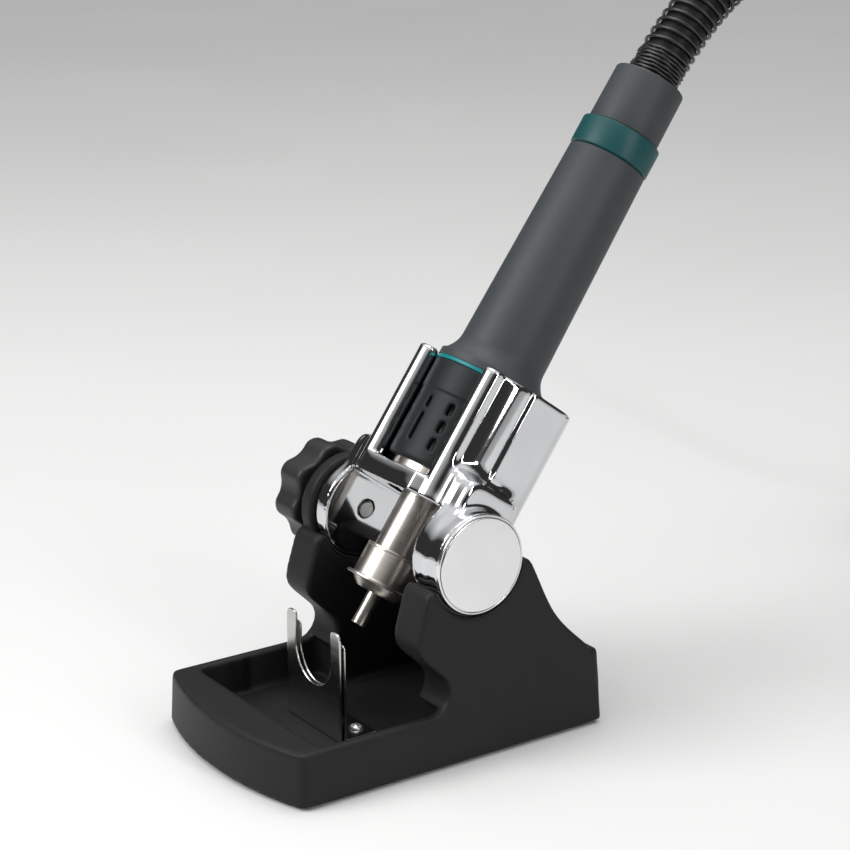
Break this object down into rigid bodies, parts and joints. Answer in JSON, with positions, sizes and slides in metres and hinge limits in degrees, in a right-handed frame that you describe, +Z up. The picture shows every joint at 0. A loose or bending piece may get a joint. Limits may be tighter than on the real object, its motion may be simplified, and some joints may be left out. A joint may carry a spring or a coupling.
{
  "type": "hot air handpiece on a bench stand",
  "caption": "Hot air handpiece resting in a tilting chrome cradle on a black cast stand with a tray, nozzle fork and clamp knob; hose with spring guard and connector.",
  "frame": {"origin": "middle of the stand's footprint, on the bench", "axes": "+Z up, -Y towards the tray, +Y towards the hose, -X towards the clamp knob"},
  "size_m": [0.1992, 0.602, 0.3091],
  "materials": {
    "black_coat": "fine textured matte",
    "rubber_pad": "matte",
    "liner": "matte",
    "stainless": "polished sheet",
    "nozzle_steel": "turned, brushed",
    "screw_steel": "satin",
    "chrome": "mirror",
    "magnet": "satin",
    "knob_black": "fine textured",
    "nose_plastic": "matte",
    "accent_teal": "satin",
    "dark_teal": "satin",
    "grip_grey": "soft touch",
    "ceramic": "matte",
    "mica": "satin",
    "air_tube_plastic": "satin",
    "board_green": "solder mask",
    "reed_glass": "clear",
    "hose_rubber": "satin",
    "spring_wire": "gloss black",
    "connector_metal": "satin nickel",
    "pin_brass": "bright"
  },
  "bodies": {
    "stand": {"base_casting": "black_coat", "base_pad": "rubber_pad", "near_saddle_liner": "liner", "far_saddle_liner": "liner", "fork_front_plate": "stainless", "fork_rear_plate": "stainless", "fork_screws": "screw_steel", "fork_spacers": "screw_steel", "thrust_washer": "liner", "knob_washer": "screw_steel"},
    "cradle": {"cradle_casting": "chrome", "hub_cap": "chrome", "rest_magnet": "magnet"},
    "knob": {"clamp_knob": "knob_black", "knob_stud": "screw_steel"},
    "handpiece": {"nose_shell": "nose_plastic", "nose_ring": "nozzle_steel", "accent_ring": "accent_teal", "grip_shell": "grip_grey", "rear_ring": "dark_teal", "end_sleeve": "grip_grey", "heater_barrel": "nozzle_steel", "heater_core": "ceramic", "mica_sleeve": "mica", "air_tube": "air_tube_plastic", "switch_board": "board_green", "reed_switch": "reed_glass", "hose_ferrule": "screw_steel", "hose_tube": "hose_rubber", "hose_spring": "spring_wire", "hose_coil": "hose_rubber", "connector_boot": "hose_rubber", "connector_shell": "connector_metal", "connector_nut": "connector_metal", "connector_pins": "pin_brass"},
    "nozzle": {"nozzle_collar": "nozzle_steel", "nozzle_tip": "nozzle_steel", "nozzle_spring": "screw_steel"}
  },
  "joints": [
    {"name": "cradle_tilt", "type": "hinge", "parent": "stand", "child": "cradle", "pos_m": [0, 0.011, 0.078], "axis": [1, 0, 0], "range_deg": [-12, 35]},
    {"name": "knob_turn", "type": "hinge", "parent": "stand", "child": "knob", "pos_m": [-0.05, 0.011, 0.078], "axis": [1, 0, 0], "range_deg": [0, 360]},
    {"name": "handpiece_lift", "type": "slide", "parent": "cradle", "child": "handpiece", "axis": [0, 0.5779, 0.8161], "range_m": [0, 0.13]},
    {"name": "nozzle_pull", "type": "slide", "parent": "handpiece", "child": "nozzle", "axis": [0, -0.5779, -0.8161], "range_m": [0, 0.018]}
  ]
}
